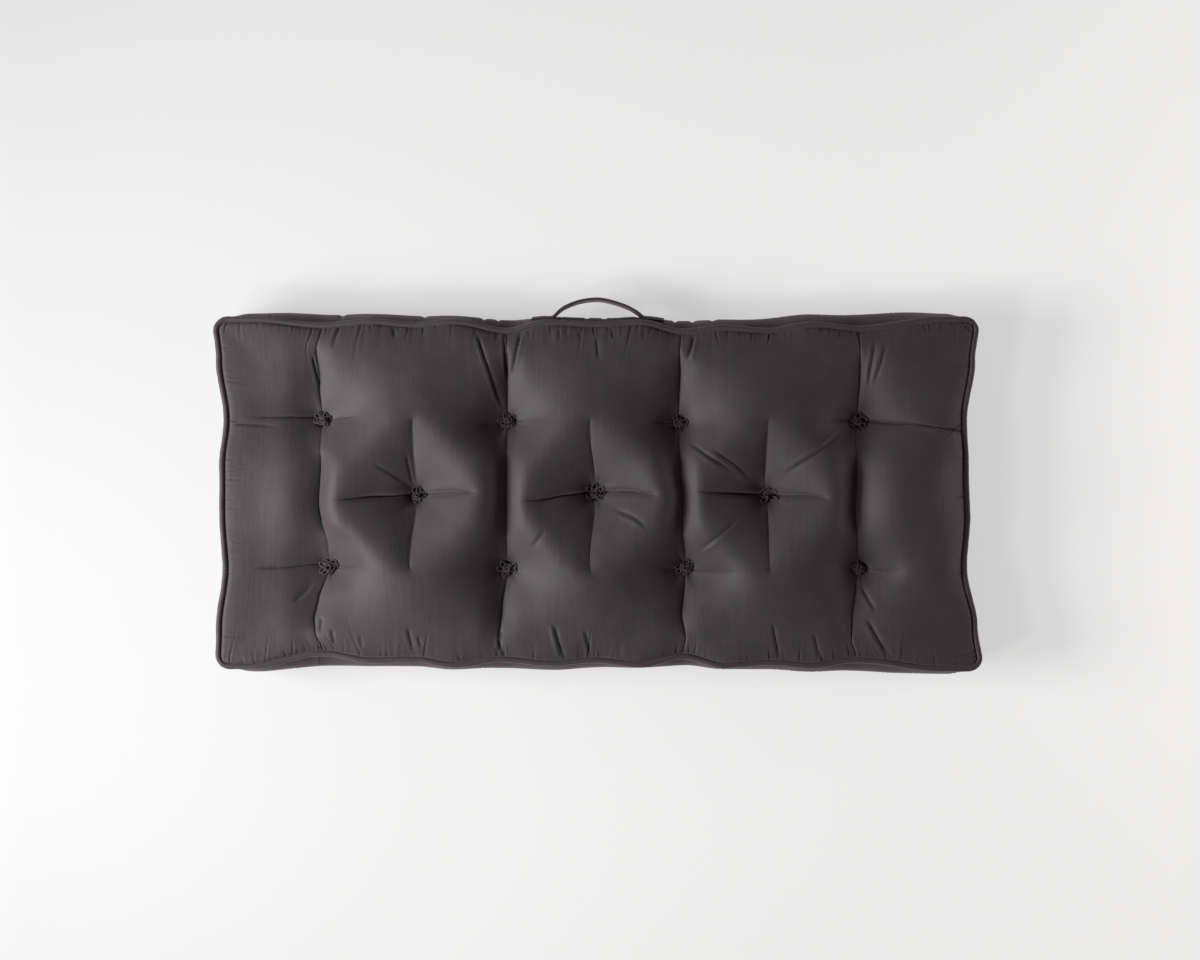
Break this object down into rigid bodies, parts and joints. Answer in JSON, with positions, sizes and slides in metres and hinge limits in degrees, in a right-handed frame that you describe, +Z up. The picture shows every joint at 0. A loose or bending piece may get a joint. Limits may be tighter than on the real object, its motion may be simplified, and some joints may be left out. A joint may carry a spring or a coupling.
{
  "type": "tufted sofa seat cushion",
  "caption": "Long box-edged charcoal seat cushion, tufted through with yarn rosettes, with welted seams, stitched-in channels and a flat carrying handle.",
  "frame": {"origin": "bottom centre of the whole cushion's box, handle included, on the surface it rests on", "axes": "+X along the cushion, +Y towards the long side that carries the handle, +Z up through its thickness"},
  "size_m": [1.0392, 0.5116, 0.1039],
  "materials": {
    "cover_cloth": "woven cotton, matt with a faint sheen",
    "welt_cloth": "the same cotton, wrapped round a cord",
    "strap_cloth": "the same cotton, folded and stitched flat",
    "yarn": "twisted matt black yarn"
  },
  "bodies": {
    "root": {"case": "cover_cloth", "welt_top": "welt_cloth", "welt_under": "welt_cloth", "handle": "strap_cloth", "tuft_front_1": "yarn", "knot_front_1": "yarn", "tuft_front_2": "yarn", "knot_front_2": "yarn", "tuft_front_3": "yarn", "knot_front_3": "yarn", "tuft_front_4": "yarn", "knot_front_4": "yarn", "tuft_middle_1": "yarn", "knot_middle_1": "yarn", "tuft_middle_2": "yarn", "knot_middle_2": "yarn", "tuft_middle_3": "yarn", "knot_middle_3": "yarn", "tuft_back_1": "yarn", "knot_back_1": "yarn", "tuft_back_2": "yarn", "knot_back_2": "yarn", "tuft_back_3": "yarn", "knot_back_3": "yarn", "tuft_back_4": "yarn", "knot_back_4": "yarn"}
  },
  "joints": []
}
